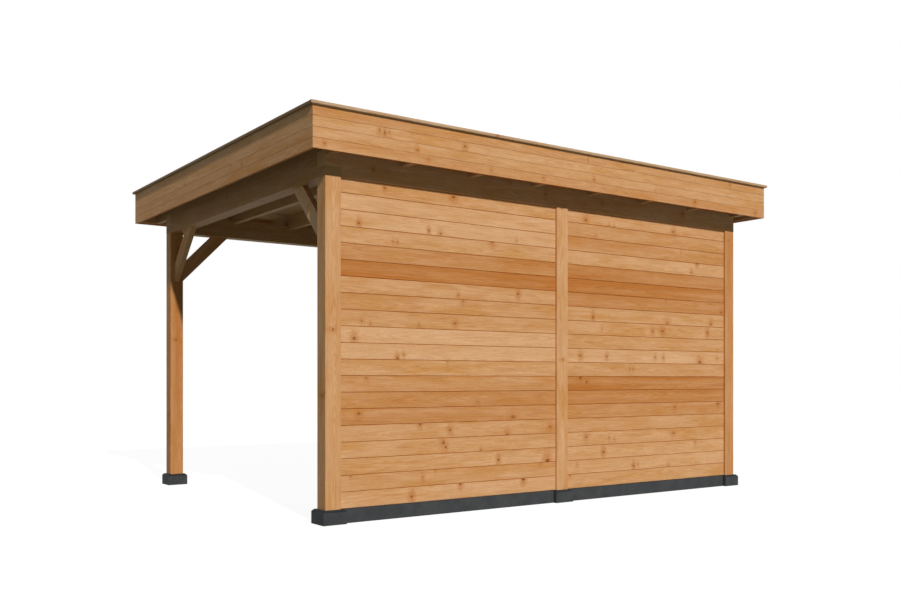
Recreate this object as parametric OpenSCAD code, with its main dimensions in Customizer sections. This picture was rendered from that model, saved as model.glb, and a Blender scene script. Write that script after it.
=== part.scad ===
// Flat-roofed timber carport: a ring of half-lapped beams on five posts, knee braces,
// notched rafters, a boarded back wall, and concrete blocks and planks underneath.
// Millimetres, +Z up. The origin is on the ground, under the middle of the roof.
// The boarded back faces -Y, the open front faces +Y, and both ends are open.

/* [Timber frame] */
// Length over the outer faces of the corner posts, along X
frame_l = 4300; // [3600:10:5400]
// Depth over the outer faces of the corner posts, along Y
frame_w = 3200; // [2600:10:4200]
// Side of the square posts
post_side = 120; // [110:1:140]
// Height of the posts above their blocks
post_h = 2275; // [2000:5:2600]
// Height of the beams along the back and the front
beam_h = 175; // [140:1:220]
// Chamfer on the long edges of posts, beams and braces
arris = 3; // [1:0.5:5]

/* [Knee braces] */
// Thickness of a brace
brace_t = 45; // [30:1:60]
// Depth of a brace, square to its length
brace_d = 115; // [80:1:140]
// Distance along the beam from the post to the lower edge of a brace
brace_run = 460; // [350:5:600]

/* [Roof] */
// Thickness of a rafter
rafter_t = 50; // [35:1:75]
// Height of a rafter
rafter_h = 145; // [120:1:180]
// Depth of the notches that seat a rafter on those two beams
rafter_notch = 40; // [5:1:60]
// Overhang of the roof beyond the back posts, to the face of the fascia
eave_back = 194; // [120:1:300]
// Overhang of the roof beyond the front posts, to the face of the fascia
eave_front = 320; // [120:1:400]
// Overhang of the roof beyond the end posts, to the face of the fascia
eave_side = 195; // [120:1:300]
// Thickness of the rim boards behind the fascia
rim_t = 28; // [20:1:45]
// Thickness of the deck boards
deck_t = 18; // [15:1:28]
// Cover width of one deck board
deck_pitch = 110; // [90:1:150]
// Thickness of the roof covering
membrane_t = 2; // [1.5:0.5:5]

/* [Fascia and cap] */
// Thickness of the fascia boards
fascia_t = 18; // [15:1:28]
// Number of fascia boards, one above the other
fascia_rows = 4; // [3:1:5]
// Cover width of one fascia board
fascia_pitch = 71; // [60:1:90]
// Distance that the fascia hangs below the rafters
fascia_drop = 14; // [5:1:40]
// Thickness of the cap on the roof edge
cap_t = 22; // [15:1:28]
// Width of the cap on the roof edge
cap_w = 90; // [80:1:140]
// Distance that the cap stands out from the fascia
cap_lip = 21; // [4:1:30]

/* [Back wall] */
// Thickness of the wall boards
board_t = 28; // [18:1:40]
// Cover width of one wall board
board_pitch = 114.5; // [90:0.5:150]
// Distance of the boards behind the outer face of the posts
wall_recess = 18; // [10:1:40]
// Depth of the groove in a post that holds the boards
post_groove = 15; // [8:1:25]
// Gap left round the boards in that groove
slip = 1; // [0.5:0.5:3]
// Depth of the V between two boards
joint_v = 4; // [2:0.5:6]

/* [Concrete feet] */
// Side of a post block
block_side = 180; // [160:5:240]
// Height of a post block and of the planks between the blocks
block_h = 100; // [70:5:160]
// Chamfer round the top of a post block
block_chamfer = 15; // [5:1:20]
// Thickness of a concrete plank
plinth_t = 50; // [35:1:70]
// Distance of a plank behind the outer face of the posts
plinth_recess = 5; // [0:1:15]

/* [Hidden] */

timber = [0.80, 0.60, 0.39];
timber_dark = [0.70, 0.50, 0.31];
concrete = [0.27, 0.28, 0.29];
rubber = [0.13, 0.13, 0.14];
over = 10;
rafter_count = 8;
// The beams are as wide as the posts and flush with them
beam_w = post_side;
// The end beams are lower by the notch, so that the end rafters lie on them
end_beam_h = beam_h - rafter_notch;
lap_h = end_beam_h / 2;

x_left = -frame_l / 2;
x_right = frame_l / 2;
y_back = (eave_back - eave_front - frame_w) / 2;
y_front = y_back + frame_w;
x_middle = -post_side / 2;

beam_z = block_h + post_h;
rafter_z = beam_z + beam_h - rafter_notch;
deck_z = rafter_z + rafter_h;
fascia_z = rafter_z - fascia_drop;
fascia_h = fascia_rows * fascia_pitch;
cap_z = fascia_z + fascia_h;

roof_x = frame_l / 2 + eave_side;
roof_y = (frame_w + eave_back + eave_front) / 2;
rim_x = roof_x - fascia_t;
rim_y = roof_y - fascia_t;
deck_x = rim_x - rim_t;
deck_y = rim_y - rim_t;

wall_y = y_back + wall_recess;
wall_reach = post_groove - slip;
rafter_step = (frame_l - rafter_t) / (rafter_count - 1);

// Corners of a rectangle with its four edges chamfered
function chamfered(w, h, c) = [
    [c, 0], [w - c, 0], [w, c], [w, h - c], [w - c, h], [c, h], [0, h - c], [0, c]
];

// The three corners of a V cut into an upright face at height z
function v_cut(x, z, depth) = [[x, z - abs(depth)], [x + depth, z], [x, z + abs(depth)]];

// Heights of the joints between boards of one cover width
function joints(pitch, h, v) = [for (z = [pitch : pitch : h - 2 * v]) z];

function reversed(list) = [for (i = [len(list) - 1 : -1 : 0]) list[i]];

// Section through a stack of boards, with a V at each joint on the faces asked for
function board_stack(t, h, pitch, v_out, v_in) = concat(
    [[0, 0]],
    v_out > 0 ? [for (z = joints(pitch, h, v_out)) each v_cut(0, z, v_out)] : [],
    [[0, h], [t, h]],
    v_in > 0 ? reversed([for (z = joints(pitch, h, v_in)) each v_cut(t, z, -v_in)]) : [],
    [[t, 0]]
);

// A bar along X: the section's first axis lies along Y
module bar_x(length, section) {
    rotate([90, 0, 90])
        linear_extrude(length)
            polygon(section);
}

// A bar along Y: the section's first axis lies along X
module bar_y(length, section) {
    translate([0, length, 0])
        rotate([90, 0, 0])
            linear_extrude(length)
                polygon(section);
}

// Plan of one side of a mitred frame, along X at -Y, on a rectangle of half sizes hx and hy
module mitre_plan(hx, hy, t) {
    polygon([[-hx, -hy], [hx, -hy], [hx - t, -hy + t], [-hx + t, -hy + t]]);
}

// One side of a mitred frame with the given section, along X at -Y
module mitred_side(hx, hy, t, h, section) {
    intersection() {
        translate([0, 0, -over])
            linear_extrude(h + 2 * over)
                mitre_plan(hx, hy, t);
        translate([-hx, -hy, 0])
            bar_x(2 * hx, section);
    }
}

// Puts a side of a frame at the back, front, left or right. Ends swap the half sizes.
module at_front() {
    rotate([0, 0, 180])
        children();
}

module at_left() {
    rotate([0, 0, -90])
        children();
}

module at_right() {
    rotate([0, 0, 90])
        children();
}

module block(x, y) {
    lift = (block_side - post_side) / 2;
    side = [
        [0, 0], [block_side, 0], [block_side, block_h - block_chamfer],
        [block_side - block_chamfer, block_h], [block_chamfer, block_h], [0, block_h - block_chamfer]
    ];
    color(concrete)
        translate([x - lift, y - lift, 0])
            intersection() {
                bar_x(block_side, side);
                bar_y(block_side, side);
            }
}

// A plank between two blocks, from the post at x to the next post
module plinth(x, next_x) {
    lift = (block_side - post_side) / 2;
    start = x + post_side + lift;
    color(concrete)
        translate([start, y_back + plinth_recess, 0])
            cube([next_x - lift - start, plinth_t, block_h]);
}

// A groove for the wall boards, cut into the face of a post at x, towards +X or -X
module wall_groove(x, towards) {
    depth = post_groove + over;
    translate([towards > 0 ? x - post_groove : x - over, wall_y - slip / 2, block_h - over])
        cube([depth, board_t + slip, post_h + 2 * over]);
}

module post(x, y) {
    translate([x, y, block_h])
        linear_extrude(post_h)
            polygon(chamfered(post_side, post_side, arris));
}

module back_post(x, groove_left, groove_right) {
    color(timber)
        difference() {
            post(x, y_back);
            if (groove_left)
                wall_groove(x, -1);
            if (groove_right)
                wall_groove(x + post_side, 1);
        }
}

module front_post(x) {
    color(timber)
        post(x, y_front - post_side);
}

// A beam along X, cut away below at both ends to lie over the end beams
module long_beam(y) {
    color(timber_dark)
        difference() {
            translate([x_left, y, beam_z])
                bar_x(frame_l, chamfered(beam_w, beam_h, arris));
            for (x = [x_left - over, x_right - beam_w])
                translate([x, y - over, beam_z - over])
                    cube([beam_w + over, beam_w + 2 * over, lap_h + over]);
        }
}

// A beam along Y that keeps its lower half at both ends, on the posts
module short_beam(x) {
    color(timber_dark)
        difference() {
            translate([x, y_back, beam_z])
                bar_y(frame_w, chamfered(beam_w, end_beam_h, arris));
            for (y = [y_back - over, y_front - beam_w])
                translate([x - over, y, beam_z + lap_h])
                    cube([beam_w + 2 * over, beam_w + over, lap_h + over]);
        }
}

// A knee brace that starts at the origin on a post and rises along +X to the beam
module brace() {
    cut = brace_d * sqrt(2);
    color(timber_dark)
        translate([0, brace_t / 2, 0])
            rotate([90, 0, 0])
                linear_extrude(brace_t)
                    polygon([[0, -brace_run], [brace_run, 0], [brace_run - cut, 0], [0, cut - brace_run]]);
}

module brace_along(x, y, turn) {
    translate([x, y, beam_z])
        rotate([0, 0, turn])
            brace();
}

// A wall between the post at x and the next one, held in their grooves
module wall(x, next_x) {
    start = x + post_side - wall_reach;
    color(timber)
        translate([start, wall_y, block_h])
            bar_x(
                next_x + wall_reach - start,
                board_stack(board_t, post_h, board_pitch, joint_v, joint_v)
            );
}

// Rafter number i, notched over the long beams. The first and the last also lie on the end beams.
module rafter(i) {
    x = x_left + i * rafter_step;
    color(timber_dark)
        difference() {
            translate([x, -deck_y, rafter_z])
                bar_y(2 * deck_y, chamfered(rafter_t, rafter_h, arris / 2));
            for (y = [y_back, y_front - beam_w])
                translate([x - over, y, rafter_z - over])
                    cube([rafter_t + 2 * over, beam_w, rafter_notch + over]);
        }
}

module rim_side(hx, hy) {
    rim_h = cap_z - rafter_z;
    color(timber_dark)
        translate([0, 0, rafter_z])
            mitred_side(hx, hy, rim_t, rim_h, [[0, 0], [rim_t, 0], [rim_t, rim_h], [0, rim_h]]);
}

module fascia_side(hx, hy) {
    color(timber)
        translate([0, 0, fascia_z])
            mitred_side(hx, hy, fascia_t, fascia_h, board_stack(fascia_t, fascia_h, fascia_pitch, joint_v / 2, 0));
}

module cap_side(hx, hy) {
    color(timber)
        translate([0, 0, cap_z])
            mitred_side(hx + cap_lip, hy + cap_lip, cap_w, cap_t, chamfered(cap_w, cap_t, arris));
}

module roof_deck() {
    section = board_stack(deck_t, 2 * deck_y, deck_pitch, joint_v, 0);
    color(timber_dark)
        translate([-deck_x, -deck_y, deck_z])
            bar_x(2 * deck_x, [for (p = section) [p[1], p[0]]]);
}

// A tray that covers the deck and turns up inside the rim boards
module roof_membrane() {
    tray_z = deck_z + deck_t;
    color(rubber)
        difference() {
            translate([-deck_x, -deck_y, tray_z])
                cube([2 * deck_x, 2 * deck_y, cap_z - tray_z]);
            translate([membrane_t - deck_x, membrane_t - deck_y, tray_z + membrane_t])
                cube([2 * (deck_x - membrane_t), 2 * (deck_y - membrane_t), cap_z]);
        }
}

block(x_left, y_back);  // block_back_left
block(x_middle, y_back);  // block_back_middle
block(x_right - post_side, y_back);  // block_back_right
block(x_left, y_front - post_side);  // block_front_left
block(x_right - post_side, y_front - post_side);  // block_front_right
plinth(x_left, x_middle);  // plinth_left
plinth(x_middle, x_right - post_side);  // plinth_right
back_post(x_left, false, true);  // post_back_left
back_post(x_middle, true, true);  // post_back_middle
back_post(x_right - post_side, true, false);  // post_back_right
front_post(x_left);  // post_front_left
front_post(x_right - post_side);  // post_front_right
long_beam(y_back);  // beam_back
long_beam(y_front - beam_w);  // beam_front
short_beam(x_left);  // beam_left
short_beam(x_right - beam_w);  // beam_right
brace_along(x_left + post_side / 2, y_back + post_side, 90);  // brace_left_back
brace_along(x_left + post_side / 2, y_front - post_side, -90);  // brace_left_front
brace_along(x_right - post_side / 2, y_back + post_side, 90);  // brace_right_back
brace_along(x_right - post_side / 2, y_front - post_side, -90);  // brace_right_front
brace_along(x_left + post_side, y_front - post_side / 2, 0);  // brace_front_left
brace_along(x_right - post_side, y_front - post_side / 2, 180);  // brace_front_right
wall(x_left, x_middle);  // wall_left
wall(x_middle, x_right - post_side);  // wall_right
rafter(0);  // rafter_1
rafter(1);  // rafter_2
rafter(2);  // rafter_3
rafter(3);  // rafter_4
rafter(4);  // rafter_5
rafter(5);  // rafter_6
rafter(6);  // rafter_7
rafter(7);  // rafter_8
rim_side(rim_x, rim_y);  // rim_back
at_front() rim_side(rim_x, rim_y);  // rim_front
at_left() rim_side(rim_y, rim_x);  // rim_left
at_right() rim_side(rim_y, rim_x);  // rim_right
roof_deck();
roof_membrane();
fascia_side(roof_x, roof_y);  // fascia_back
at_front() fascia_side(roof_x, roof_y);  // fascia_front
at_left() fascia_side(roof_y, roof_x);  // fascia_left
at_right() fascia_side(roof_y, roof_x);  // fascia_right
cap_side(roof_x, roof_y);  // cap_back
at_front() cap_side(roof_x, roof_y);  // cap_front
at_left() cap_side(roof_y, roof_x);  // cap_left
at_right() cap_side(roof_y, roof_x);  // cap_right
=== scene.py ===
"""Dresses the flat-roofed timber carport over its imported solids.

The solids stay as they are and get their timber, concrete and rubber. The back wall, the fascia
and the roof deck are built again as separate tongued boards, each with its own grain and knots.
Lengths are metres unless a name or a docstring says otherwise.
"""

import logging
import math
import random
from dataclasses import dataclass, field, replace
from enum import Enum

import bmesh
import bpy
from mathutils import Euler, Matrix, Vector

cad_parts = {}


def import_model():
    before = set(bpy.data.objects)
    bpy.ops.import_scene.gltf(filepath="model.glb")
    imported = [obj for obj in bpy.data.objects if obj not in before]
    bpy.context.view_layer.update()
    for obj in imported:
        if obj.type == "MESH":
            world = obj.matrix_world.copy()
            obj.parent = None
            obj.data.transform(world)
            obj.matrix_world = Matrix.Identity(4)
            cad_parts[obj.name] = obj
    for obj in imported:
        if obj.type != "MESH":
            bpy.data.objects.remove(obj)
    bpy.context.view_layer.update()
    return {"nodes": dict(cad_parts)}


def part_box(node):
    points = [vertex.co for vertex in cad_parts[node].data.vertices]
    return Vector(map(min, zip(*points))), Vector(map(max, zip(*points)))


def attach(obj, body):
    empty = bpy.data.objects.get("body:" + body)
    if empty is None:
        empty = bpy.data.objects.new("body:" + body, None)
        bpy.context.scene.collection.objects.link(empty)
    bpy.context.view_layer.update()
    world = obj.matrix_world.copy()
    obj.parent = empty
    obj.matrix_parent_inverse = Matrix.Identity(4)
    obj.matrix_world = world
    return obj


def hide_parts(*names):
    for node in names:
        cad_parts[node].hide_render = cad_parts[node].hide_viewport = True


LOG = logging.getLogger("carport")
MM = 0.001
BODY = "root"
WHITE = (1.0, 1.0, 1.0, 1.0)

# UV maps of a modelled board. Each holds two numbers for every corner of a face.
GRAIN_UV = "grain"  # metres along the board, metres across it
LAY_UV = "lay"  # metres behind the outer face, and the board's own number
KNOT_UV = "knot"  # place relative to the nearest knot, in radii of that knot
TONE_UV = "tone"  # share of heartwood, and how dark the knot is
NO_KNOT = (40.0, 40.0)  # so far from a knot that nothing of it shows
KNOT_REACH = 6.0  # radii of a knot within which it shows

# Sockets of a colour mix, and of a map range after its value.
SHARE, FIRST, SECOND, MIXED = 0, 6, 7, 2
FROM_LOW, FROM_HIGH, TO_LOW, TO_HIGH = 1, 2, 3, 4

Tree = bpy.types.NodeTree
# What feeds an input: the first output of a node, a socket, or a number.
Value = bpy.types.Node | bpy.types.NodeSocket | float


def linear(colour: str) -> tuple[float, float, float, float]:
    """Turns an sRGB hex colour into linear values.

    Args:
        colour: six hex digits after a number sign.

    Returns:
        Red, green, blue and an alpha of 1.
    """
    parts = [int(colour[i : i + 2], 16) / 255 for i in (1, 3, 5)]
    values = [p / 12.92 if p <= 0.04045 else ((p + 0.055) / 1.055) ** 2.4 for p in parts]
    return (values[0], values[1], values[2], 1.0)


def add(
    tree: Tree, kind: str, inputs: dict[int | str, object] | None = None, **settings: object
) -> bpy.types.Node:
    """Adds one node with its settings, values and links.

    Args:
        tree: node tree that takes the node.
        kind: type name of the node, without the word ShaderNode that all of them start with.
        inputs: value, socket or node for each input, by name or number. A node gives its first output.
        settings: attributes of the node itself.

    Returns:
        The new node.
    """
    node = tree.nodes.new("ShaderNode" + kind)
    for name, value in settings.items():
        setattr(node, name, value)
    for name, value in (inputs or {}).items():
        source = value.outputs[0] if isinstance(value, bpy.types.Node) else value
        if isinstance(source, bpy.types.NodeSocket):
            tree.links.new(source, node.inputs[name])
        else:
            node.inputs[name].default_value = source
    return node


def layered(tree: Tree, colour: object, layers: tuple[tuple[Value, str, str], ...]) -> Value:
    """Lays tints over a colour, one after the other.

    Args:
        tree: node tree of the material.
        colour: the lowest colour, as a socket or as linear values.
        layers: share of a tint, the tint as an sRGB hex value, and its blend type.

    Returns:
        The colour on top.
    """
    for share, tint, blend in layers:
        inputs = {SHARE: share, FIRST: colour, SECOND: linear(tint)}
        colour = add(tree, "Mix", inputs, data_type="RGBA", blend_type=blend).outputs[MIXED]
    return colour


def blank(name: str) -> bpy.types.Material:
    """Makes a material with an empty node tree.

    Args:
        name: name of the material.

    Returns:
        The material.
    """
    material = bpy.data.materials.new(name)
    material.use_nodes = True
    material.node_tree.nodes.clear()
    return material


class Lie(Enum):
    """Which way the fibres of a solid timber run, as turns about X, Y and Z in degrees."""

    ALONG_X = (0.0, 0.0, 0.0)
    ALONG_Y = (0.0, 0.0, 90.0)
    UPRIGHT = (0.0, -90.0, 0.0)
    RISING_TO_FRONT = (0.0, -45.0, 90.0)
    RISING_TO_BACK = (0.0, 45.0, 90.0)
    RISING_TO_RIGHT = (0.0, -45.0, 0.0)
    RISING_TO_LEFT = (0.0, 45.0, 0.0)


class Pattern(Enum):
    """Noises that run with the grain: how many per metre along and across, their detail and roughness."""

    DRIFT = (0.4, 0.8, 1.0, 0.5)  # how the pith wanders
    WOBBLE = (5.0, 22.0, 2.0, 0.5)  # how the rings wave
    BAND = (0.5, 12.0, 3.0, 0.6)  # bands of heartwood
    PATCH = (2.2, 13.0, 4.0, 0.6)  # paler and more golden patches
    STREAK = (6.0, 140.0, 3.0, 0.65)  # streaks of 7 mm
    FIBRE = (30.0, 450.0, 2.0, 0.5)  # fibres of 2 mm
    TEAR = (55.0, 75.0, 3.0, 0.7)  # ragged rims of knots


@dataclass(frozen=True)
class Palette:
    """Colours of one batch of softwood, as sRGB hex values. The last four darken what is under them."""

    pale: str = "#E5B88B"
    mid: str = "#DBAA76"
    honey: str = "#D39954"
    heart: str = "#C58141"
    sap: str = "#ECC299"
    knot: str = "#7C4623"
    halo: str = "#BC7638"
    end: str = "#BC9160"
    ring: str = "#D8BFA4"
    streak: str = "#D9B892"
    fibre: str = "#CDB497"
    # Painted shade that darkens and browns the wood inside the joints.
    painted_joint_shade: str = "#E7BC7C"


@dataclass(frozen=True)
class Spot:
    """Where a point lies in its timber, from nodes or as numbers that hold for all of it."""

    point: Value  # metres along the fibres, across them and in depth
    seed: Value  # the timber's own number
    tone: Value  # share of heartwood, or of sapwood where it is negative
    knot: Value  # place relative to the nearest knot, in radii of that knot
    dark: Value  # how dark that knot is
    depth: Value  # metres behind the outer face


@dataclass(frozen=True)
class Softwood:
    """Planed, untreated larch: warm orange brown, matt, with rings that show as soft flames.

    The rings are cylinders about a pith that wanders along the timber, so a flat-sawn face gets long
    arches and an end gets arcs.
    """

    name: str
    palette: Palette = Palette()
    ring_mm: float = 5.5
    wobble_mm: float = 5.0
    swing_mm: float = 16.0  # how far the rings bend out round a knot
    thick_mm: float = 28.0
    painted_joint_shade_mm: tuple[float, float] = (0.1, 1.6)  # where the painted shade of a joint starts, and is full
    relief_mm: float = 0.4
    pith_across: float = 0.0
    pith_depth: float = 0.07
    pith_wander: tuple[float, float] = (0.30, 0.16)
    apart: tuple[float, float, float] = (7.31, 3.17, 1.73)  # step in the noises from one seed to the next
    ring_strength: float = 0.22
    rough: float = 0.62
    rough_spread: float = 0.07

    def spot(self, tree: Tree) -> Spot:
        """Gives where a point lies in the timber, from nodes of the material's tree."""
        raise NotImplementedError

    def build(self) -> bpy.types.Material:
        """Makes the material.

        Returns:
            The material.
        """
        material = blank(self.name)
        tree = material.node_tree
        spot = self.spot(tree)
        near = add(tree, "VectorMath", {0: spot.knot}, operation="LENGTH").outputs["Value"]
        rings = self.rings(tree, spot, near)
        colour, fibre = self.colour(tree, spot, rings)
        colour = self.ends(tree, self.knots(tree, spot, near, colour))
        height = add(tree, "Math", {0: fibre, 1: rings}, operation="ADD")
        bump = add(tree, "Bump", {"Strength": 0.5, "Distance": self.relief_mm * MM, "Height": height})
        rough = add(
            tree,
            "MapRange",
            {0: fibre, TO_LOW: self.rough + self.rough_spread, TO_HIGH: self.rough - self.rough_spread},
        )
        look = {"Base Color": colour, "Normal": bump, "Roughness": rough, "Specular IOR Level": 0.1}
        shader = add(tree, "BsdfPrincipled", look | {"IOR": 1.5})
        add(tree, "OutputMaterial", {"Surface": shader})
        return material

    def along_grain(self, tree: Tree, spot: Spot, pattern: Pattern) -> bpy.types.Node:
        """Lays a noise along the grain, moved so that every timber reads another part of it.

        Args:
            tree: node tree of the material.
            spot: where the point lies.
            pattern: which noise.

        Returns:
            The node, which gives a number and a colour.
        """
        along, across, detail, roughness = pattern.value
        shift = add(tree, "CombineXYZ", {0: spot.seed, 1: spot.seed, 2: spot.seed})
        moved = add(tree, "VectorMath", {0: shift, 1: self.apart, 2: spot.point}, operation="MULTIPLY_ADD")
        scaled = add(tree, "VectorMath", {0: moved, 1: (along, across, across)}, operation="MULTIPLY")
        return add(
            tree, "TexNoise", {"Vector": scaled, "Scale": 1.0, "Detail": detail, "Roughness": roughness}
        )

    def rings(self, tree: Tree, spot: Spot, near: Value) -> Value:
        """Lays the yearly rings.

        Args:
            tree: node tree of the material.
            spot: where the point lies.
            near: distance to the knot in its own radii.

        Returns:
            How far the point is into the dark end of its ring.
        """
        drift = self.along_grain(tree, spot, Pattern.DRIFT)
        wide, deep = self.pith_wander
        inputs = {
            0: drift.outputs["Color"],
            1: (0.0, wide, deep),
            2: (0.0, -wide / 2 - self.pith_across, self.pith_depth - deep / 2),
        }
        pith = add(tree, "VectorMath", inputs, operation="MULTIPLY_ADD")
        from_pith = add(tree, "VectorMath", {0: spot.point, 1: pith}, operation="ADD")
        across = add(tree, "VectorMath", {0: from_pith, 1: (0.0, 1.0, 1.0)}, operation="MULTIPLY")
        radius = add(tree, "VectorMath", {0: across}, operation="LENGTH")
        wobble = self.along_grain(tree, spot, Pattern.WOBBLE)
        waved = add(
            tree,
            "Math",
            {0: wobble, 1: self.wobble_mm * MM, 2: radius.outputs["Value"]},
            operation="MULTIPLY_ADD",
        )
        bulge = add(
            tree,
            "MapRange",
            {0: near, FROM_LOW: 0.5, FROM_HIGH: 5.0, TO_LOW: 1.0, TO_HIGH: 0.0},
            interpolation_type="SMOOTHSTEP",
        )
        pushed = add(tree, "Math", {0: bulge, 1: self.swing_mm * MM, 2: waved}, operation="MULTIPLY_ADD")
        count = add(tree, "Math", {0: pushed, 1: self.ring_mm * MM}, operation="DIVIDE")
        saw = add(tree, "Math", {0: count}, operation="FRACT")
        return add(
            tree, "MapRange", {0: saw, FROM_LOW: 0.3, FROM_HIGH: 0.95}, interpolation_type="SMOOTHSTEP"
        )

    def colour(self, tree: Tree, spot: Spot, rings: Value) -> tuple[Value, Value]:
        """Mixes the timber's colours.

        Args:
            tree: node tree of the material.
            spot: where the point lies.
            rings: how far the point is into the dark end of its ring.

        Returns:
            The colour, and the fibres as numbers from 0 to 1.
        """
        patch = self.along_grain(tree, spot, Pattern.PATCH)
        streak = self.along_grain(tree, spot, Pattern.STREAK)
        fibre = self.along_grain(tree, spot, Pattern.FIBRE)
        band = self.along_grain(tree, spot, Pattern.BAND)
        hues = add(tree, "SeparateColor", {0: patch.outputs["Color"]})
        pale = add(tree, "MapRange", {0: hues.outputs[0], FROM_LOW: 0.34, FROM_HIGH: 0.62})
        gold = add(tree, "MapRange", {0: hues.outputs[1], FROM_LOW: 0.46, FROM_HIGH: 0.68, TO_HIGH: 0.75})
        banded = add(
            tree, "MapRange", {0: band, FROM_LOW: 0.32, FROM_HIGH: 0.66, TO_LOW: 0.45, TO_HIGH: 1.3}
        )
        heart = add(tree, "Math", {0: spot.tone, 1: banded}, operation="MULTIPLY")
        sap = add(tree, "Math", {0: heart, 1: -1.0}, operation="MULTIPLY")
        ring = add(tree, "Math", {0: rings, 1: self.ring_strength}, operation="MULTIPLY")
        line = add(tree, "MapRange", {0: streak, FROM_LOW: 0.38, FROM_HIGH: 0.68, TO_HIGH: 0.36})
        hair = add(tree, "MapRange", {0: fibre, FROM_LOW: 0.35, FROM_HIGH: 0.75, TO_HIGH: 0.35})
        # Painted shade in the joints: wood that lies back from either face is darkened to a warm brown.
        start, full = (depth * MM for depth in self.painted_joint_shade_mm)
        thick = self.thick_mm * MM
        outer = add(tree, "MapRange", {0: spot.depth, FROM_LOW: start, FROM_HIGH: full})
        inner = add(tree, "MapRange", {0: spot.depth, FROM_LOW: thick - start, FROM_HIGH: thick - full})
        painted_joint_shade = add(tree, "Math", {0: outer, 1: inner}, operation="MULTIPLY")
        batch = self.palette
        layers = (
            (pale, batch.pale, "MIX"),
            (gold, batch.honey, "MIX"),
            (sap, batch.sap, "MIX"),
            (heart, batch.heart, "MIX"),
            (ring, batch.ring, "MULTIPLY"),
            (line, batch.streak, "MULTIPLY"),
            (hair, batch.fibre, "MULTIPLY"),
            (painted_joint_shade, batch.painted_joint_shade, "MULTIPLY"),
        )
        return layered(tree, linear(batch.mid), layers), fibre

    def knots(self, tree: Tree, spot: Spot, near: Value, colour: Value) -> Value:
        """Draws the knots, each with a dark core, an orange halo along the grain and a stain across it.

        Args:
            tree: node tree of the material.
            spot: where the point lies.
            near: distance to the knot in its own radii.
            colour: colour of the clear timber.

        Returns:
            The colour with its knots.
        """
        tear = self.along_grain(tree, spot, Pattern.TEAR)
        ragged = add(tree, "Math", {0: tear, 1: 2.4, 2: near}, operation="MULTIPLY_ADD")
        halo = add(
            tree,
            "MapRange",
            {0: ragged, FROM_LOW: 1.6, FROM_HIGH: 5.2, TO_LOW: 0.9, TO_HIGH: 0.0},
            interpolation_type="SMOOTHSTEP",
        )
        # The fibres that swing round a knot also stain it across the board, in a ragged upright patch.
        torn = add(
            tree,
            "VectorMath",
            {0: tear.outputs["Color"], 1: (6.0, 3.0, 0.0), 2: (-3.0, -1.5, 0.0)},
            operation="MULTIPLY_ADD",
        )
        tall = add(
            tree, "VectorMath", {0: spot.knot, 1: (0.68, 0.3, 0.0), 2: torn}, operation="MULTIPLY_ADD"
        )
        far = add(tree, "VectorMath", {0: tall}, operation="LENGTH").outputs["Value"]
        stain = add(tree, "MapRange", {0: far, FROM_LOW: 0.8, FROM_HIGH: 2.6, TO_LOW: 0.7, TO_HIGH: 0.0})
        glow = add(tree, "Math", {0: halo, 1: stain}, operation="MAXIMUM")
        core = add(
            tree,
            "MapRange",
            {0: ragged, FROM_LOW: 1.5, FROM_HIGH: 2.6, TO_LOW: 1.0, TO_HIGH: 0.0},
            interpolation_type="SMOOTHSTEP",
        )
        layers = (
            (add(tree, "Math", {0: share, 1: spot.dark}, operation="MULTIPLY"), tint, "MIX")
            for share, tint in ((glow, self.palette.halo), (core, self.palette.knot))
        )
        return layered(tree, colour, tuple(layers))

    def ends(self, tree: Tree, colour: Value) -> Value:
        """Gives back the colour as it is, because the ends of the boards are hidden."""
        return colour


@dataclass(frozen=True)
class BoardWood(Softwood):
    """Softwood of the modelled boards, which carry their own grain, knots and tone in UV maps."""

    def spot(self, tree: Tree) -> Spot:
        """Reads the board's UV maps.

        Args:
            tree: node tree of the material.

        Returns:
            The place of the point.
        """
        maps = (add(tree, "UVMap", uv_map=name) for name in (GRAIN_UV, LAY_UV, TONE_UV))
        grain, lay, tone = (add(tree, "SeparateXYZ", {0: node}) for node in maps)
        point = add(tree, "CombineXYZ", {0: grain.outputs[0], 1: grain.outputs[1], 2: lay.outputs[0]})
        return Spot(
            point=point,
            seed=lay.outputs[1],
            tone=tone.outputs[0],
            knot=add(tree, "UVMap", uv_map=KNOT_UV),
            dark=tone.outputs[1],
            depth=lay.outputs[0],
        )


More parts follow.
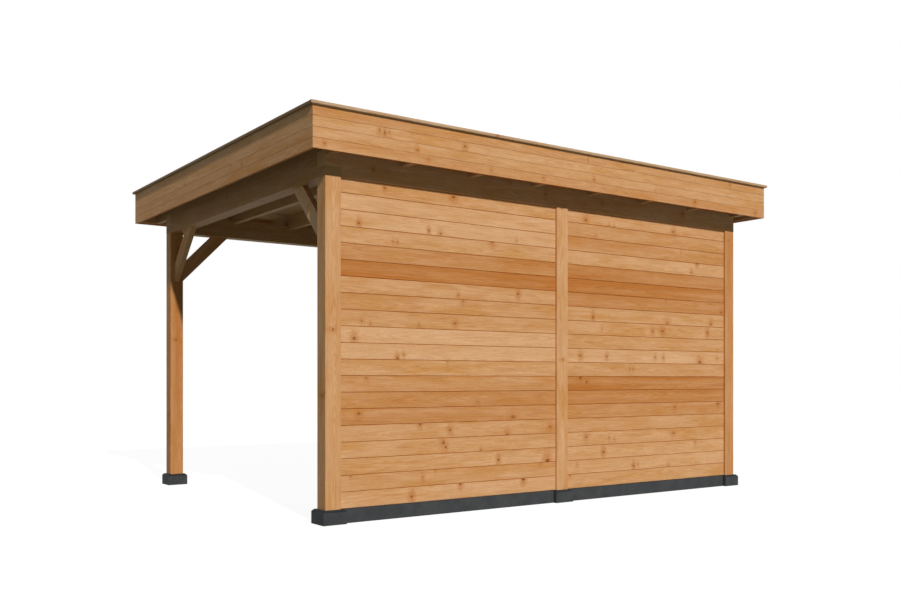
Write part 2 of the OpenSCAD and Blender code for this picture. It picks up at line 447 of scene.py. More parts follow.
@dataclass(frozen=True)
class SawnWood(Softwood):
    """Softwood of one solid timber. Its knots are branches that run out from the pith.

    Each branch has a cell of its own on a sheet that is wrapped round the pith.
    """

    middle: tuple[float, float, float] = (0.0, 0.0, 0.0)
    lie: Lie = Lie.ALONG_X
    seed: float = 1.0
    tone: float = 0.3
    knotty: float = 0.2
    knot_dark: float = 0.7
    knot_mm: tuple[float, float] = (5.0, 12.0)
    cells_along: float = 1.4  # per metre
    cell_long: float = 0.714
    cell_wide: float = 1.25  # radians
    seed_cells: float = 3.7  # cells from the knots of one seed to those of the next

    def spot(self, tree: Tree) -> Spot:
        """Turns the point so that its first number runs along the timber, and finds the nearest branch.

        Args:
            tree: node tree of the material.

        Returns:
            The place of the point.
        """
        here = add(tree, "TexCoord").outputs["Object"]
        turn = tuple(math.radians(angle) for angle in self.lie.value)
        point = add(tree, "Mapping", {0: here, 1: self.middle, 2: turn}, vector_type="TEXTURE")
        part = add(tree, "SeparateXYZ", {0: point})
        # A turn of 45 degrees puts the seam of the angle on an edge of the timber.
        low = add(tree, "Math", {0: part.outputs[1], 1: part.outputs[2]}, operation="SUBTRACT")
        high = add(tree, "Math", {0: part.outputs[1], 1: part.outputs[2]}, operation="ADD")
        angle = add(tree, "Math", {0: low, 1: high}, operation="ARCTAN2")
        along = add(
            tree,
            "Math",
            {0: part.outputs[0], 1: self.cells_along, 2: self.seed * self.seed_cells},
            operation="MULTIPLY_ADD",
        )
        around = add(tree, "Math", {0: angle, 1: 1 / self.cell_wide}, operation="MULTIPLY")
        cell = add(tree, "CombineXYZ", {0: along, 1: around})
        branch = add(tree, "TexVoronoi", {"Vector": cell, "Scale": 1.0}, voronoi_dimensions="2D")
        chance = add(tree, "SeparateColor", {0: branch.outputs["Color"]})
        away = add(tree, "VectorMath", {0: cell, 1: branch.outputs["Position"]}, operation="SUBTRACT")
        flat = add(
            tree, "VectorMath", {0: point, 1: (0.0, self.cell_wide, self.cell_wide)}, operation="MULTIPLY"
        )
        wide = add(tree, "VectorMath", {0: flat}, operation="LENGTH").outputs["Value"]
        spread = add(tree, "CombineXYZ", {0: self.cell_long, 1: wide})
        metres = add(tree, "VectorMath", {0: away, 1: spread}, operation="MULTIPLY")
        small, large = (radius * MM for radius in self.knot_mm)
        radius = add(tree, "MapRange", {0: chance.outputs[0], TO_LOW: small, TO_HIGH: large})
        size = add(tree, "CombineXYZ", {0: radius, 1: radius, 2: 1.0})
        knot = add(tree, "VectorMath", {0: metres, 1: size}, operation="DIVIDE")
        kept = add(tree, "Math", {0: chance.outputs[1], 1: self.knotty}, operation="LESS_THAN")
        dark = add(tree, "Math", {0: kept, 1: self.knot_dark}, operation="MULTIPLY")
        return Spot(point=point, seed=self.seed, tone=self.tone, knot=knot, dark=dark, depth=0.0)

    def ends(self, tree: Tree, colour: Value) -> Value:
        """Gives faces that are cut across the fibres the browner tone of end grain.

        Args:
            tree: node tree of the material.
            colour: colour of the timber with its knots.

        Returns:
            The colour with its end grain.
        """
        along = Euler([math.radians(angle) for angle in self.lie.value]).to_matrix() @ Vector((1.0, 0.0, 0.0))
        normal = add(tree, "NewGeometry").outputs["True Normal"]
        facing = add(tree, "VectorMath", {0: normal, 1: along}, operation="DOT_PRODUCT")
        either = add(tree, "Math", {0: facing.outputs["Value"]}, operation="ABSOLUTE")
        cut = add(tree, "MapRange", {0: either, FROM_LOW: 0.85, FROM_HIGH: 0.95, TO_HIGH: 0.85})
        return layered(tree, colour, ((cut, self.palette.end, "MIX"),))


@dataclass(frozen=True)
class CastConcrete:
    """Cast concrete, dark grey through the mix: matt, with fine sand, paler patches and small air holes.

    The scales are in patterns per metre. The sand is 2 to 5 mm, coarser than real, so that it shows at
    the photo's distance.
    """

    name: str = "cast_concrete_dark_grey"
    base: str = "#373A3D"
    pale: str = "#46494C"
    hole: str = "#242628"
    upward_tint: str = "#9FA8AE"
    cloud_scale: float = 9.0
    sand_scale: float = 210.0
    hole_scale: float = 55.0
    hole_depth: float = 1.5
    relief_mm: float = 1.2

    def build(self) -> bpy.types.Material:
        """Makes the material.

        Returns:
            The material.
        """
        material = blank(self.name)
        tree = material.node_tree
        here = add(tree, "TexCoord").outputs["Object"]
        cloud = add(tree, "TexNoise", {"Vector": here, "Scale": self.cloud_scale, "Detail": 4.0})
        sand = add(
            tree, "TexNoise", {"Vector": here, "Scale": self.sand_scale, "Detail": 3.0, "Roughness": 0.7}
        )
        blend = add(tree, "Math", {0: sand, 1: cloud}, operation="MULTIPLY")
        paler = add(tree, "MapRange", {0: blend, FROM_LOW: 0.14, FROM_HIGH: 0.38})
        cells = add(tree, "TexVoronoi", {"Vector": here, "Scale": self.hole_scale})
        pit = add(
            tree,
            "MapRange",
            {0: cells.outputs["Distance"], FROM_LOW: 0.08, FROM_HIGH: 0.2, TO_LOW: 1.0, TO_HIGH: 0.0},
        )
        # Faces that look up are darker and bluer.
        normal = add(tree, "NewGeometry").outputs["True Normal"]
        up = add(tree, "SeparateXYZ", {0: normal}).outputs[2]
        upward_share = add(tree, "MapRange", {0: up, FROM_LOW: 0.3, FROM_HIGH: 0.7})
        layers = ((paler, self.pale, "MIX"), (pit, self.hole, "MIX"), (upward_share, self.upward_tint, "MULTIPLY"))
        colour = layered(tree, linear(self.base), layers)
        height = add(tree, "Math", {0: pit, 1: -self.hole_depth, 2: sand}, operation="MULTIPLY_ADD")
        bump = add(tree, "Bump", {"Strength": 0.7, "Distance": self.relief_mm * MM, "Height": height})
        look = {"Base Color": colour, "Normal": bump, "Roughness": 0.88, "Specular IOR Level": 0.3}
        shader = add(tree, "BsdfPrincipled", look | {"IOR": 1.5})
        add(tree, "OutputMaterial", {"Surface": shader})
        return material


@dataclass(frozen=True)
class RubberSheet:
    """Vulcanised rubber roofing: near black, matt with a faint bloom of dust, slightly uneven where it lies.

    The scales are in patterns per metre.
    """

    name: str = "rubber_roof_sheet"
    base: str = "#27282A"
    dust: str = "#4B4A47"
    lie_scale: float = 1.6
    grit_scale: float = 160.0
    grit_depth: float = 0.03
    relief_mm: float = 12.0

    def build(self) -> bpy.types.Material:
        """Makes the material.

        Returns:
            The material.
        """
        material = blank(self.name)
        tree = material.node_tree
        here = add(tree, "TexCoord").outputs["Object"]
        lie = add(
            tree, "TexNoise", {"Vector": here, "Scale": self.lie_scale, "Detail": 5.0, "Roughness": 0.55}
        )
        grit = add(tree, "TexNoise", {"Vector": here, "Scale": self.grit_scale, "Detail": 2.0})
        dusty = add(tree, "MapRange", {0: lie, FROM_LOW: 0.35, FROM_HIGH: 0.8, TO_HIGH: 0.6})
        colour = layered(tree, linear(self.base), ((dusty, self.dust, "MIX"),))
        height = add(tree, "Math", {0: grit, 1: self.grit_depth, 2: lie}, operation="MULTIPLY_ADD")
        bump = add(tree, "Bump", {"Strength": 0.6, "Distance": self.relief_mm * MM, "Height": height})
        rough = add(tree, "MapRange", {0: grit, TO_LOW: 0.55, TO_HIGH: 0.75})
        look = {"Base Color": colour, "Normal": bump, "Roughness": rough, "Specular IOR Level": 0.25}
        shader = add(tree, "BsdfPrincipled", look | {"IOR": 1.52})
        add(tree, "OutputMaterial", {"Surface": shader})
        return material


@dataclass(frozen=True)
class Knot:
    """One knot of a boarded face, in millimetres from the lower left corner of that face."""

    x: float
    z: float
    size: float = 8.0
    dark: float = 0.9
    long: float = 1.3


@dataclass(frozen=True)
class KnotChance:
    """How knots fall on boards that the photo doesn't show. Ranges are shares, sizes are millimetres."""

    every: float  # mean distance between knots
    first: tuple[float, float] = (0.1, 0.9)
    step: tuple[float, float] = (0.35, 1.65)
    up: tuple[float, float] = (0.15, 0.85)
    dark: tuple[float, float] = (0.45, 1.0)
    long: tuple[float, float] = (1.0, 1.9)
    sizes: tuple[float, ...] = (4.0, 5.0, 6.0, 7.0, 9.0, 12.0)
    end_clear: float = 40.0

    def throw(self, dice: random.Random, length: float, high: float) -> tuple[Knot, ...]:
        """Throws the knots of one board.

        Args:
            dice: seeded source of chance.
            length: length of the board in millimetres.
            high: height of its face in millimetres.

        Returns:
            The knots, placed on that board.
        """
        knots = []
        x = dice.uniform(*self.first) * self.every
        while x < length - self.end_clear:
            size = dice.choice(self.sizes)
            z = dice.uniform(*self.up) * high
            knots.append(Knot(x, z, size, dice.uniform(*self.dark), dice.uniform(*self.long)))
            x += dice.uniform(*self.step) * self.every
        return tuple(knots)


@dataclass(frozen=True)
class Section:
    """Section of a tongued board, in millimetres. The outer face is where depth is 0."""

    thick: float
    cover: float
    gap: float
    arris: float
    tongue: float
    groove_at: tuple[float, float] = (0.36, 0.64)  # its sides, as shares of the thickness
    side_slack: float = 0.3
    end_slack: float = 1.0

    def outline(self, high: float, tongue: bool, groove: bool) -> list[tuple[float, float]]:
        """Gives the corners of the section as depth and height.

        Args:
            high: height of the board's body.
            tongue: whether the upper edge has a tongue.
            groove: whether the lower edge has a groove.

        Returns:
            The corners in order.
        """
        t, a = self.thick, self.arris
        inner, outer = (t * share for share in self.groove_at)
        deep = self.tongue + self.end_slack
        lower = [(inner, 0.0), (inner, deep), (outer, deep), (outer, 0.0)] if groove else []
        near, far, tip = inner + self.side_slack, outer - self.side_slack, high + self.tongue
        upper = [(far, high), (far, tip), (near, tip), (near, high)] if tongue else []
        inward = [(a, 0.0), *lower, (t - a, 0.0), (t, a), (t, high - a)]
        return [*inward, (t - a, high), *upper, (a, high), (0.0, high - a), (0.0, a)]


@dataclass(frozen=True)
class Board:
    """One board along X, in millimetres, with its lower outer edge on the X axis."""

    length: float
    high: float
    section: Section
    number: float
    tone: float
    knots: tuple[Knot, ...] = ()
    tongue: bool = True
    groove: bool = True
    mitred: bool = False

    def patches(self) -> list[tuple[float, float, Knot]]:
        """Gives the stretch of the board that each knot rules.

        Returns:
            Start, end and knot, in order along the board.
        """
        row = sorted(self.knots, key=lambda knot: knot.x)
        spans = []
        for i, knot in enumerate(row):
            reach = KNOT_REACH * knot.size * knot.long
            low = knot.x - reach if i == 0 else max(knot.x - reach, (row[i - 1].x + knot.x) / 2)
            top = knot.x + reach if i == len(row) - 1 else min(knot.x + reach, (row[i + 1].x + knot.x) / 2)
            spans.append((max(low, 0.0), min(top, self.length), knot))
        return spans

    def mesh(self) -> bpy.types.Mesh:
        """Extrudes the section, mitres the ends, and writes the UV maps.

        Returns:
            A mesh in metres.
        """
        bm = bmesh.new()
        corners = self.section.outline(self.high, self.tongue, self.groove)
        ring = [bm.verts.new((0.0, depth, up)) for depth, up in corners]
        start = bm.faces.new(ring)
        grown = bmesh.ops.extrude_face_region(bm, geom=[start], use_keep_orig=True)
        moved = [item for item in grown["geom"] if isinstance(item, bmesh.types.BMVert)]
        bmesh.ops.translate(bm, verts=moved, vec=(self.length, 0.0, 0.0))
        if self.mitred:
            self.cut(bm, Vector((0.0, 0.0, 0.0)), Vector((-1.0, 1.0, 0.0)))
            self.cut(bm, Vector((self.length, 0.0, 0.0)), Vector((1.0, 1.0, 0.0)))
        spans = self.patches()
        for place in sorted({edge for low, top, _ in spans for edge in (low, top)}):
            if 0.0 < place < self.length:
                whole = bm.verts[:] + bm.edges[:] + bm.faces[:]
                bmesh.ops.bisect_plane(bm, geom=whole, plane_co=(place, 0.0, 0.0), plane_no=(1.0, 0.0, 0.0))
        bmesh.ops.recalc_face_normals(bm, faces=bm.faces[:])
        self.lay_out(bm, spans)
        bmesh.ops.scale(bm, vec=(MM, MM, MM), verts=bm.verts[:])
        made = bpy.data.meshes.new("board")
        bm.to_mesh(made)
        bm.free()
        return made

    def cut(self, bm: bmesh.types.BMesh, point: Vector, normal: Vector) -> None:
        """Cuts off what lies beyond a plane and closes the end.

        Args:
            bm: mesh of the board.
            point: a point of the plane.
            normal: direction of what goes.
        """
        whole = bm.verts[:] + bm.edges[:] + bm.faces[:]
        done = bmesh.ops.bisect_plane(bm, geom=whole, plane_co=point, plane_no=normal, clear_outer=True)
        edges = [item for item in done["geom_cut"] if isinstance(item, bmesh.types.BMEdge)]
        bmesh.ops.triangle_fill(bm, edges=edges, use_beauty=True)

    def lay_out(self, bm: bmesh.types.BMesh, spans: list[tuple[float, float, Knot]]) -> None:
        """Writes the UV maps that the timber reads.

        Args:
            bm: mesh of the board, in millimetres.
            spans: what patches() gave.
        """
        layers = {name: bm.loops.layers.uv.new(name) for name in (GRAIN_UV, LAY_UV, KNOT_UV, TONE_UV)}
        for face in bm.faces:
            middle = face.calc_center_median().x
            knot = next((k for low, top, k in spans if low <= middle <= top), None)
            for loop in face.loops:
                x, y, z = loop.vert.co
                loop[layers[GRAIN_UV]].uv = (x * MM, z * MM)
                loop[layers[LAY_UV]].uv = (y * MM, self.number)
                loop[layers[KNOT_UV]].uv = (
                    ((x - knot.x) / (knot.size * knot.long), (z - knot.z) / knot.size) if knot else NO_KNOT
                )
                loop[layers[TONE_UV]].uv = (self.tone, knot.dark if knot else 0.0)


def dress(piece: bpy.types.Object, material: bpy.types.Material) -> None:
    """Gives a piece one material all over."""
    piece.data.materials.clear()
    piece.data.materials.append(material)


def as_object(name: str, bm: bmesh.types.BMesh) -> bpy.types.Object:
    """Turns a finished bmesh into an object of the scene.

    Args:
        name: name of the new object.
        bm: the mesh, which is freed.

    Returns:
        The new object, at the origin.
    """
    data = bpy.data.meshes.new(name)
    bm.to_mesh(data)
    bm.free()
    piece = bpy.data.objects.new(name, data)
    bpy.context.scene.collection.objects.link(piece)
    return piece


def joined(name: str, meshes: list[tuple[bpy.types.Mesh, Matrix]]) -> bpy.types.Object:
    """Puts meshes at their places in one object.

    Args:
        name: name of the new object.
        meshes: each mesh and where it goes.

    Returns:
        The new object, at the origin.
    """
    bm = bmesh.new()
    for mesh, where in meshes:
        mesh.transform(where)
        if where.is_negative:
            mesh.flip_normals()
        bm.from_mesh(mesh)
        bpy.data.meshes.remove(mesh)
    return as_object(name, bm)


def settle(piece: bpy.types.Object, node: str, material: bpy.types.Material) -> None:
    """Dresses a modelled piece and lets it stand for a node.

    Args:
        piece: the modelled piece.
        node: node that it replaces.
        material: its material.
    """
    dress(piece, material)
    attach(piece, BODY)
    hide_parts(node)
    LOG.info("%s stands for %s with %d faces", piece.name, node, len(piece.data.polygons))


@dataclass
class Boarding:
    """Tongued boards that stand together for one solid. Each kind says how large and where it is.

    Heartwood gives the tone of a board by its number, counted back from the last one. Knots are given
    for the whole stack. Without them, the boards get thrown ones.
    """

    node: str
    slot: str
    section: Section
    heartwood: dict[int, float] = field(default_factory=dict)
    knots: tuple[Knot, ...] = ()
    inset: float = 0.0  # from the end of a board to where its knots are measured from
    most_heart: float = 0.25  # highest tone of a board that heartwood leaves out
    chance: KnotChance = KnotChance(every=900.0)
    numbers: tuple[float, float] = (1.0, 60.0)
    mitred: bool = False

    def box(self) -> tuple[Vector, Vector]:
        """Gives the lower and upper corner of the node in millimetres."""
        return tuple(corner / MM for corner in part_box(self.node))

    def size(self) -> tuple[float, float]:
        """Gives the length of a board and the height of the stack, in millimetres."""
        raise NotImplementedError

    def place(self, base: float) -> Matrix:
        """Gives where a board goes that starts so many millimetres up the stack."""
        raise NotImplementedError

    def build(self, material: bpy.types.Material) -> None:
        """Stacks the boards and lets them stand for the node.

        Args:
            material: timber of the boards.
        """
        dice = random.Random(self.node)
        length, high = self.size()
        rows = round(high / self.section.cover)
        meshes = []
        for row in range(rows):
            base = row * self.section.cover
            last = row == rows - 1
            body = high - base if last else self.section.cover - self.section.gap
            board = Board(
                length=length,
                high=body,
                section=self.section,
                number=round(dice.uniform(*self.numbers), 2),
                tone=self.heartwood.get(rows - row, dice.uniform(0.0, self.most_heart)),
                knots=self.given_knots(base) if self.knots else self.chance.throw(dice, length, body),
                tongue=not last,
                groove=row > 0,
                mitred=self.mitred,
            )
            meshes.append((board.mesh(), self.place(base)))
        settle(joined(self.node + "_boards", meshes), self.node, material)

    def given_knots(self, base: float) -> tuple[Knot, ...]:
        """Picks the given knots of one board.

        Args:
            base: where the board starts, in millimetres up the stack.

        Returns:
            Its knots, measured from its own corner.
        """
        return tuple(
            replace(knot, x=knot.x + self.inset, z=knot.z - base)
            for knot in self.knots
            if base <= knot.z < base + self.section.cover
        )


@dataclass
class BoardedWall(Boarding):
    """A bay of the back wall: boards between two posts, each let into their grooves."""

    slot: str = "wall_boards"
    section: Section = Section(thick=28.0, cover=114.5, gap=1.0, arris=2.6, tongue=8.0)
    inset: float = 14.0
    most_heart: float = 0.16

    def size(self) -> tuple[float, float]:
        """Gives the width of the bay and its height above the concrete."""
        low, top = self.box()
        return top.x - low.x, top.z - low.z

    def place(self, base: float) -> Matrix:
        """Gives where a board goes that starts so many millimetres above the concrete."""
        low, _ = self.box()
        return Matrix.Translation((low.x * MM, low.y * MM, (low.z + base) * MM))


@dataclass
class FasciaSide(Boarding):
    """One side of the box fascia: narrow boards with mitred ends."""

    slot: str = "fascia_boards"
    section: Section = Section(thick=18.0, cover=71.0, gap=0.9, arris=1.0, tongue=6.0)
    mitred: bool = True
    turn: float = 0.0  # degrees about Z from the back of the roof

    def on_end(self) -> bool:
        """Says whether this side runs along Y."""
        return self.turn % 180.0 != 0.0

    def size(self) -> tuple[float, float]:
        """Gives the length of the side and its height."""
        low, top = self.box()
        return (top.y - low.y if self.on_end() else top.x - low.x), top.z - low.z

    def place(self, base: float) -> Matrix:
        """Turns a board to its side of the roof.

        Args:
            base: where the board starts, in millimetres up the side.

        Returns:
            Where it goes.
        """
        low, top = self.box()
        length, _ = self.size()
        reach = max(abs(low.x), abs(top.x)) if self.on_end() else max(abs(low.y), abs(top.y))
        start = Matrix.Translation((-length / 2 * MM, -reach * MM, (low.z + base) * MM))
        return Matrix.Rotation(math.radians(self.turn), 4, "Z") @ start


@dataclass
class RoofDeck(Boarding):
    """Boards on the rafters, face down: their joints show from below between the rafters."""

    node: str = "roof_deck"
    slot: str = "deck_boards"
    section: Section = Section(thick=18.0, cover=110.0, gap=1.6, arris=3.0, tongue=6.0)
    most_heart: float = 0.3
    chance: KnotChance = KnotChance(every=700.0)

    def size(self) -> tuple[float, float]:
        """Gives the length of the boards and the depth of the roof."""
        low, top = self.box()
        return top.x - low.x, top.y - low.y

    def place(self, base: float) -> Matrix:
        """Lays a board on the rafters.

        Args:
            base: where the board starts, in millimetres from the back.

        Returns:
            Where it goes.
        """
        low, _ = self.box()
        # The board's height turns to lie along Y, and its outer face looks down.
        lay = Matrix(((1.0, 0.0, 0.0, 0.0), (0.0, 0.0, 1.0, 0.0), (0.0, 1.0, 0.0, 0.0), (0.0, 0.0, 0.0, 1.0)))
        return Matrix.Translation((low.x * MM, (low.y + base) * MM, low.z * MM)) @ lay


BRACES = {
    "brace_left_back": Lie.RISING_TO_FRONT,
    "brace_right_back": Lie.RISING_TO_FRONT,
    "brace_left_front": Lie.RISING_TO_BACK,
    "brace_right_front": Lie.RISING_TO_BACK,
    "brace_front_left": Lie.RISING_TO_RIGHT,
    "brace_front_right": Lie.RISING_TO_LEFT,
}


@dataclass
class SolidTimbers:
    """Posts, beams, braces, rafters, rims and caps: their solids stay, each with its own piece of wood."""

    nodes: dict[str, bpy.types.Object]
    palette: Palette = Palette()
    # Painted shade: a darker copy of the wood for the left beam and the rafter on it, as the left side lies
    # in shade.
    painted_shade_left: Palette = Palette(pale="#BD976E", mid="#B48C5D", honey="#AC7D43", heart="#A06B34")
    # Painted shade: a darker, more olive copy of the wood for the rafters, the front beam and the deck, which
    # lie in shade under the roof.
    inside: Palette = Palette(pale="#D7B385", mid="#CDA472", honey="#C39351", heart="#B07A3F")
    cap: Palette = Palette(pale="#DBC2A4", mid="#CFB391", honey="#C8A57C", heart="#B48F64")
    dark_cap: Palette = Palette(pale="#998060", mid="#8E7657", honey="#876B42", heart="#775C3D")
    kinds: tuple[str, ...] = ("post", "beam", "brace", "rafter", "rim", "cap")
    knotty: float = 0.3
    knotty_cap: float = 0.12
    pith_depths: tuple[float, float] = (0.0, 0.05)
    common_tones: tuple[float, float] = (0.05, 0.3)
    first_seed: float = 1.0
    seed_step: float = 1.37
    tones: dict[str, float] = field(
        default_factory=lambda: {
            "post_back_left": 0.1,
            "post_back_middle": 0.0,
            "post_back_right": 0.5,
            "post_front_left": 0.65,
            "brace_left_back": -0.4,
            "beam_left": 0.3,
            "rafter_1": 0.3,
        }
    )

    def batch(self, node: str) -> Palette:
        """Says which colours a node takes: its batch of wood, or a darker copy that paints the shade on the
        left side and under the roof.

        Args:
            node: name of the node.

        Returns:
            The colours of its wood.
        """
        # The left beam and the rafter on it take the darker copy that paints the shade of the left side.
        if node in ("beam_left", "rafter_1"):
            return self.painted_shade_left
        if node in ("cap_left", "cap_right"):
            return self.dark_cap
        # Rafters and the front beam take the darker copy that paints the shade under the roof.
        if node.startswith("rafter") or node == "beam_front":
            return self.inside
        return self.cap if node.startswith("cap") else self.palette

    def lie(self, node: str) -> Lie:
        """Says which way the fibres of a node run.

        Args:
            node: name of the node.

        Returns:
            The lie of its fibres.
        """
        if node in BRACES:
            return BRACES[node]
        if node.startswith("post"):
            return Lie.UPRIGHT
        if node.startswith("rafter") or node.endswith(("_left", "_right")):
            return Lie.ALONG_Y
        return Lie.ALONG_X

    def build(self) -> None:
        """Dresses every solid timber."""
        for count, (node, piece) in enumerate(sorted(self.nodes.items())):
            if not node.startswith(self.kinds):
                continue
            low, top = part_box(node)
            dice = random.Random(node)
            wood = SawnWood(
                name="larch_" + node,
                palette=self.batch(node),
                pith_depth=dice.uniform(*self.pith_depths),
                middle=tuple((low + top) / 2),
                lie=self.lie(node),
                seed=self.first_seed + count * self.seed_step,
                tone=self.tones.get(node, dice.uniform(*self.common_tones)),
                knotty=self.knotty_cap if node.startswith("cap") else self.knotty,
            )
            dress(piece, wood.build())
            LOG.info("%s is %s", node, wood.name)


@dataclass(frozen=True)
class Lamp:
    """A distant lamp: the direction from the part to it, its strength, and how wide it looks in degrees."""

    name: str
    towards: tuple[float, float, float]
    power: float
    angle: float
    colour: str

    def build(self) -> None:
        """Adds the lamp to the scene."""
        data = bpy.data.lights.new(self.name, "SUN")
        data.energy = self.power
        data.angle = math.radians(self.angle)
        data.color = linear(self.colour)[:3]
        lamp = bpy.data.objects.new(self.name, data)
        lamp.rotation_euler = Vector(self.towards).to_track_quat("Z", "Y").to_euler()
        bpy.context.scene.collection.objects.link(lamp)


@dataclass
class Studio:
    """Floor, lamps, world and camera. The light is set so that the back is as bright as in the photo."""

    film_mm: float = 36.0
    lens_mm: float = 38.1145
    shift: tuple[float, float] = (-0.00063, 0.08898)
    eye: tuple[float, float, float] = (-5.1999, -7.4138, 0.98505)
    yaw: float = -35.424
    sight: float = 200.0  # as far as the camera sees
    key: Lamp = Lamp("key", (-0.32, -1.58, 1.0), 2.93, 1.5, "#FFF8F0")
    fill: Lamp = Lamp("fill", (1.0, 1.5, 1.3), 1.1, 40.0, "#FFFFFF")
    sky: str = "#5A5B5D"
    floor_half: float = 60.0
    floor_under_mm: float = 0.5
    floor_glow: float = 0.93
    floor_seen: tuple[float, float, float, float] = (0.14, 0.14, 0.14, 1.0)
    floor_unseen: tuple[float, float, float, float] = (0.24, 0.32, 0.33, 1.0)

    def build(self) -> None:
        """Sets up all of it."""
        self.camera()
        self.key.build()
        self.fill.build()
        self.world()
        self.floor()
        bpy.context.scene.view_settings.view_transform = "Standard"

    def camera(self) -> None:
        """Places the level camera of the photo."""
        data = bpy.data.cameras.new("camera")
        data.sensor_width = self.film_mm
        data.lens = self.lens_mm
        data.shift_x, data.shift_y = self.shift
        data.clip_end = self.sight
        camera = bpy.data.objects.new("camera", data)
        camera.location = self.eye
        camera.rotation_euler = (math.radians(90.0), 0.0, math.radians(self.yaw))
        bpy.context.scene.collection.objects.link(camera)
        bpy.context.scene.camera = camera

    def seen(self, tree: Tree) -> Value:
        """Gives 1 where a camera, glossy or transmission ray looks, and 0 for the rest.

        Args:
            tree: node tree of the floor or the world.

        Returns:
            What gives the number.
        """
        path = add(tree, "LightPath")
        share = path.outputs["Is Camera Ray"]
        for ray in ("Is Glossy Ray", "Is Transmission Ray"):
            share = add(tree, "Math", {0: share, 1: path.outputs[ray]}, operation="MAXIMUM")
        return share

    def world(self) -> None:
        """Lights all round softly, and shows white to the camera."""
        world = bpy.data.worlds.new("world")
        world.use_nodes = True
        tree = world.node_tree
        tree.nodes.clear()
        colour = add(
            tree, "Mix", {SHARE: self.seen(tree), FIRST: linear(self.sky), SECOND: WHITE}, data_type="RGBA"
        )
        back = add(tree, "Background", {0: colour.outputs[MIXED], 1: 1.0})
        add(tree, "OutputWorld", {0: back})
        bpy.context.scene.world = world

    def floor(self) -> None:
        """Lays a plain floor that looks white to the camera and keeps a soft shadow."""
        bm = bmesh.new()
        bmesh.ops.create_grid(bm, x_segments=1, y_segments=1, size=self.floor_half)
        bmesh.ops.translate(bm, verts=bm.verts[:], vec=(0.0, 0.0, -self.floor_under_mm * MM))
        floor = as_object("floor", bm)
        material = blank("floor_paint")
        tree = material.node_tree
        seen = self.seen(tree)
        glow = add(tree, "Math", {0: seen, 1: self.floor_glow}, operation="MULTIPLY")
        paint = add(
            tree, "Mix", {SHARE: seen, FIRST: self.floor_unseen, SECOND: self.floor_seen}, data_type="RGBA"
        )
        plain = add(tree, "BsdfDiffuse", {0: paint.outputs[MIXED]})
        shine = add(tree, "Emission", {0: WHITE, 1: glow})
        both = add(tree, "AddShader", {0: plain, 1: shine})
        add(tree, "OutputMaterial", {"Surface": both})
        dress(floor, material)


# The knots of the back follow the photo: place along and up, size, how dark and how long. Those of
# the walls are measured from the clear edge of the post on their left.
WALL_LEFT = BoardedWall(
    node="wall_left",
    heartwood={
        2: -0.4, 3: -0.45, 5: 0.6, 6: 0.9, 8: 0.3, 10: -0.6,
        11: -0.6, 13: 0.3, 14: 0.6, 15: 0.55, 20: -0.4,
    },
    knots=(
        Knot(361, 2245, 6), Knot(961, 2247, 8, 0.9, 2.0), Knot(151, 1977, 7), Knot(740, 1977, 6),
        Knot(842, 1965, 7, 0.6, 1.6), Knot(1565, 1972, 5, 0.4), Knot(1327, 1943, 9, 0.8),
        Knot(430, 1872, 5, 0.6), Knot(467, 1869, 5, 0.6), Knot(649, 1715, 5, 0.4), Knot(1582, 1559, 8),
        Knot(1005, 1519, 6, 0.6), Knot(1049, 1475, 7, 0.6), Knot(976, 1306, 7, 0.7, 1.8),
        Knot(174, 1297, 6, 0.5), Knot(245, 1277, 5, 0.6), Knot(652, 1280, 5, 0.6), Knot(114, 1175, 10, 0.8),
        Knot(467, 1044, 7), Knot(520, 1065, 5, 0.6), Knot(905, 1022, 5, 0.4), Knot(211, 902, 6, 0.6),
        Knot(1190, 722, 6, 0.5, 1.8), Knot(151, 652, 8, 0.8, 1.6), Knot(661, 565, 7),
        Knot(1530, 597, 14, 0.6, 1.4), Knot(930, 512, 9, 0.7), Knot(1474, 462, 8, 0.8, 1.8),
        Knot(1915, 510, 8, 0.6, 1.8), Knot(874, 425, 13, 0.7), Knot(886, 388, 8, 0.8),
        Knot(1215, 352, 5, 0.7), Knot(1386, 272, 8, 0.9), Knot(86, 221, 5, 0.5), Knot(799, 221, 5, 0.6),
        Knot(686, 177, 6, 0.6), Knot(1886, 240, 14, 0.9, 1.4), Knot(1815, 220, 6, 0.5),
        Knot(1026, 107, 8, 0.9), Knot(1636, 107, 9, 1.0), Knot(590, 46, 9, 0.9),
    ),
)

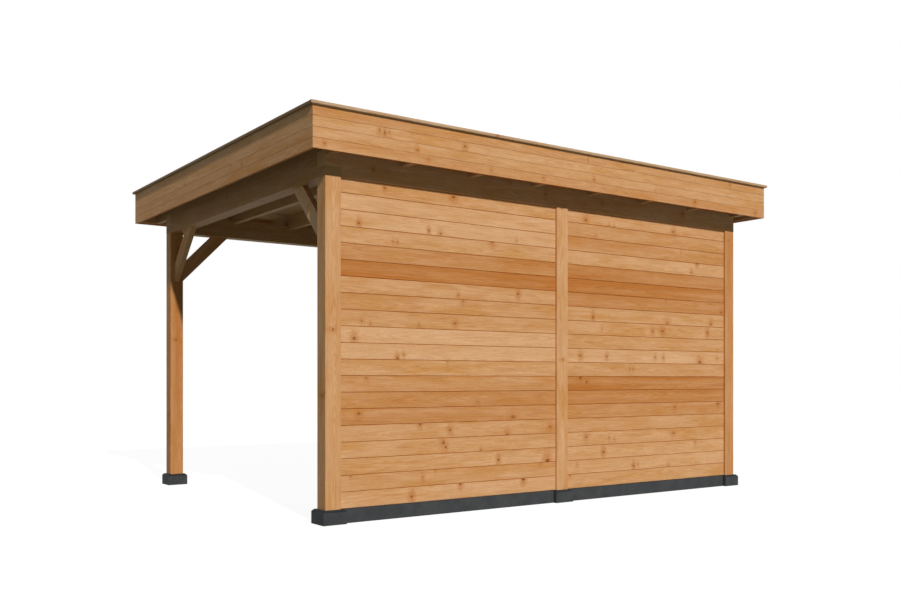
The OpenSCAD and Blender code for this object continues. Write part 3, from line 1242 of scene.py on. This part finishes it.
WALL_RIGHT = BoardedWall(
    node="wall_right",
    heartwood={
        2: 0.2, 3: 0.4, 4: -0.2, 5: 0.75, 6: 0.9, 7: 0.6, 11: -0.5,
        13: 0.85, 14: 0.8, 15: 0.4, 18: -0.2, 19: -0.4,
    },
    knots=(
        Knot(217, 2206, 9, 0.7, 1.6), Knot(482, 2187, 6, 0.5), Knot(542, 2185, 5, 0.5),
        Knot(1282, 2206, 9, 0.7, 1.6), Knot(332, 2090, 6, 0.4), Knot(1380, 2034, 5, 0.5),
        Knot(1597, 1945, 7, 0.9, 1.8), Knot(1520, 1862, 7, 0.6), Knot(1182, 1594, 6, 0.6),
        Knot(1935, 1515, 9, 0.8), Knot(297, 1410, 16, 0.7, 0.6), Knot(1201, 1394, 12, 0.5, 1.6),
        Knot(1789, 1400, 10, 0.7), Knot(399, 1312, 5, 0.4), Knot(1014, 1312, 7, 0.7, 1.6),
        Knot(1141, 1315, 8, 1.0, 1.9), Knot(1741, 1321, 8, 0.9, 1.5), Knot(154, 1085, 9, 0.7),
        Knot(455, 1085, 7, 0.7), Knot(1045, 1085, 7, 0.6), Knot(1151, 1081, 7, 0.6),
        Knot(1876, 1085, 6, 0.4), Knot(1635, 1049, 12, 0.7, 1.5), Knot(732, 981, 6, 0.6),
        Knot(770, 981, 6, 0.6), Knot(155, 906, 13, 0.8), Knot(226, 869, 9, 0.8),
        Knot(1301, 644, 9, 0.6, 1.6), Knot(1889, 665, 8, 0.9, 1.8), Knot(220, 415, 9, 0.6, 1.5),
        Knot(1282, 412, 9, 0.6, 1.6), Knot(482, 400, 6, 0.5), Knot(545, 385, 5, 0.5),
        Knot(416, 284, 9, 0.9), Knot(1570, 319, 6, 0.5), Knot(776, 150, 8, 0.9), Knot(826, 160, 6, 0.5),
        Knot(120, 194, 6, 0.5), Knot(1214, 125, 7, 0.5), Knot(39, 106, 6, 0.5),
    ),
)

FASCIA_SIDES = (
    FasciaSide(
        node="fascia_back",
        turn=0.0,
        heartwood={1: 0.3, 2: 0.0, 3: 0.05, 4: 0.3},
        knots=(
            Knot(505, 190, 13, 0.5, 0.7), Knot(548, 178, 18, 0.6, 0.5), Knot(583, 184, 8, 0.4),
            Knot(1227, 179, 9, 0.7), Knot(815, 94, 7, 0.7), Knot(87, 39, 6, 0.7), Knot(905, 41, 5, 0.5),
            Knot(1467, 41, 6, 0.5), Knot(1977, 44, 7, 0.6), Knot(2510, 97, 6, 0.7), Knot(3222, 76, 5, 0.4),
            Knot(3722, 46, 10, 0.7), Knot(4565, 41, 9, 0.6), Knot(4197, 252, 6, 0.6),
            Knot(2445, 244, 5, 0.5),
        ),
    ),
    FasciaSide(node="fascia_front", turn=180.0),
    FasciaSide(
        node="fascia_left",
        turn=-90.0,
        knots=(
            Knot(2361, 136, 6, 0.5), Knot(2565, 98, 7, 0.5), Knot(3327, 75, 5, 0.35),
            Knot(1348, 152, 6, 0.4), Knot(1039, 105, 5, 0.3), Knot(640, 40, 5, 0.3),
        ),
    ),
    FasciaSide(node="fascia_right", turn=90.0),
)


def main() -> None:
    """Builds everything in order."""
    logging.basicConfig(level=logging.INFO, format="%(name)s: %(message)s")
    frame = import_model()
    nodes = frame["nodes"]
    timbers = SolidTimbers(nodes)
    Studio().build()
    boards = BoardWood(name="larch_wall_boards", pith_across=0.057, pith_depth=0.075).build()
    narrow = BoardWood(name="larch_fascia_boards", thick_mm=18.0, pith_across=0.036, pith_depth=0.06).build()
    # The deck boards take the darker copy of the wood that paints the shade under the roof.
    deck = BoardWood(
        name="larch_deck_boards", palette=timbers.inside, thick_mm=18.0, pith_across=0.055, pith_depth=0.07
    ).build()
    for wall in (WALL_LEFT, WALL_RIGHT):
        wall.build(boards)
    for side in FASCIA_SIDES:
        side.build(narrow)
    RoofDeck().build(deck)
    timbers.build()
    concrete = CastConcrete().build()
    rubber = RubberSheet().build()
    for name, piece in nodes.items():
        if name.startswith(("block", "plinth")):
            dress(piece, concrete)
    dress(nodes["roof_membrane"], rubber)


if __name__ == "__main__":
    main()
